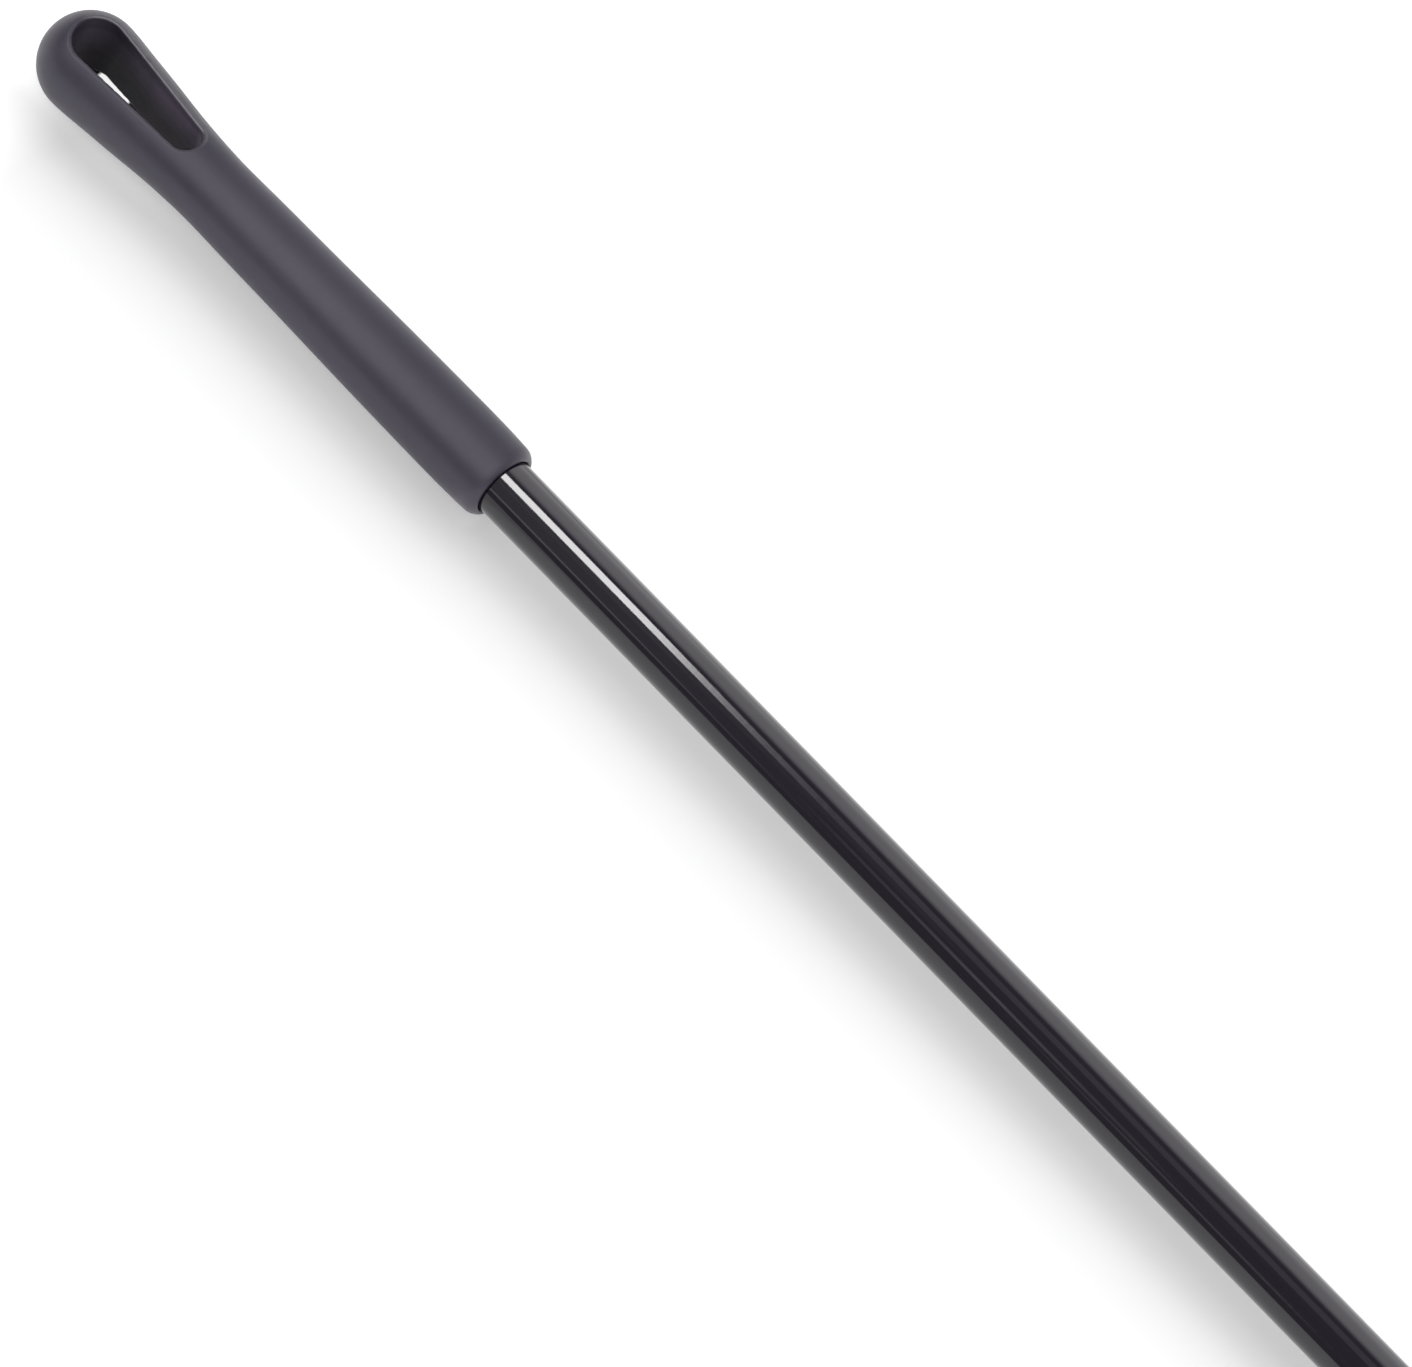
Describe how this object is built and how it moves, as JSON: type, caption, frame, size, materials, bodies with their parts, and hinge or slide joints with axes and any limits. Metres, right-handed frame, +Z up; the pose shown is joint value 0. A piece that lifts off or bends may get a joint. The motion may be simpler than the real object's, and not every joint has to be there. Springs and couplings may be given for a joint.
{
  "type": "telescopic roller extension pole",
  "caption": "Telescopic pole for a paint roller: soft grip with a hanging eye, gloss tube, twist lock, sliding inner tube and threaded tip.",
  "frame": {"origin": "centre of the bounding box at ground level, with the pole collapsed and lying down", "axes": "+X along the pole from the grip's butt to the threaded tip, +Z up and along the hanging eye"},
  "size_m": [1.122, 0.043, 0.0351],
  "materials": {
    "grip": "satin-matt moulded soft plastic, dark blue-grey",
    "outer_tube": "gloss black paint on steel tube",
    "inner_tube": "plain drawn tube, fine lengthwise grain",
    "lock_body": "black glass-filled nylon",
    "lock_rivets": "plain steel",
    "clamp_ring": "natural acetal",
    "slip_washer": "plain steel",
    "lock_nut": "black glass-filled nylon",
    "nut_sleeve": "soft moulded plastic, dark blue-grey",
    "guide_plug": "black nylon",
    "plug_pin": "plain steel",
    "guide_ring": "natural acetal",
    "thread_tip": "black glass-filled nylon",
    "tip_rivet": "plain steel"
  },
  "bodies": {
    "outer": {"grip": "grip", "outer_tube": "outer_tube", "lock_body": "lock_body", "lock_rivets": "lock_rivets"},
    "slider": {"guide_ring": "guide_ring"},
    "inner": {"inner_tube": "inner_tube", "guide_plug": "guide_plug", "plug_pin": "plug_pin", "thread_tip": "thread_tip", "tip_rivet": "tip_rivet"},
    "ring": {"clamp_ring": "clamp_ring", "slip_washer": "slip_washer"},
    "nut": {"lock_nut": "lock_nut", "nut_sleeve": "nut_sleeve"}
  },
  "joints": [
    {"name": "extension", "type": "slide", "parent": "outer", "child": "slider", "axis": [1, 0, 0], "range_m": [0, 0.84]},
    {"name": "inner_spin", "type": "hinge", "parent": "slider", "child": "inner", "pos_m": [0, 0, 0.01755], "axis": [1, 0, 0], "continuous": true},
    {"name": "nut_travel", "type": "slide", "parent": "outer", "child": "ring", "axis": [1, 0, 0], "range_m": [0, 0.004]},
    {"name": "nut_turn", "type": "hinge", "parent": "ring", "child": "nut", "pos_m": [0, 0, 0.01755], "axis": [1, 0, 0], "range_deg": [0, 360]}
  ],
  "couplings": [
    {"joint": "nut_travel", "follows": "nut_turn", "m_per_rad": 0.00063662}
  ]
}
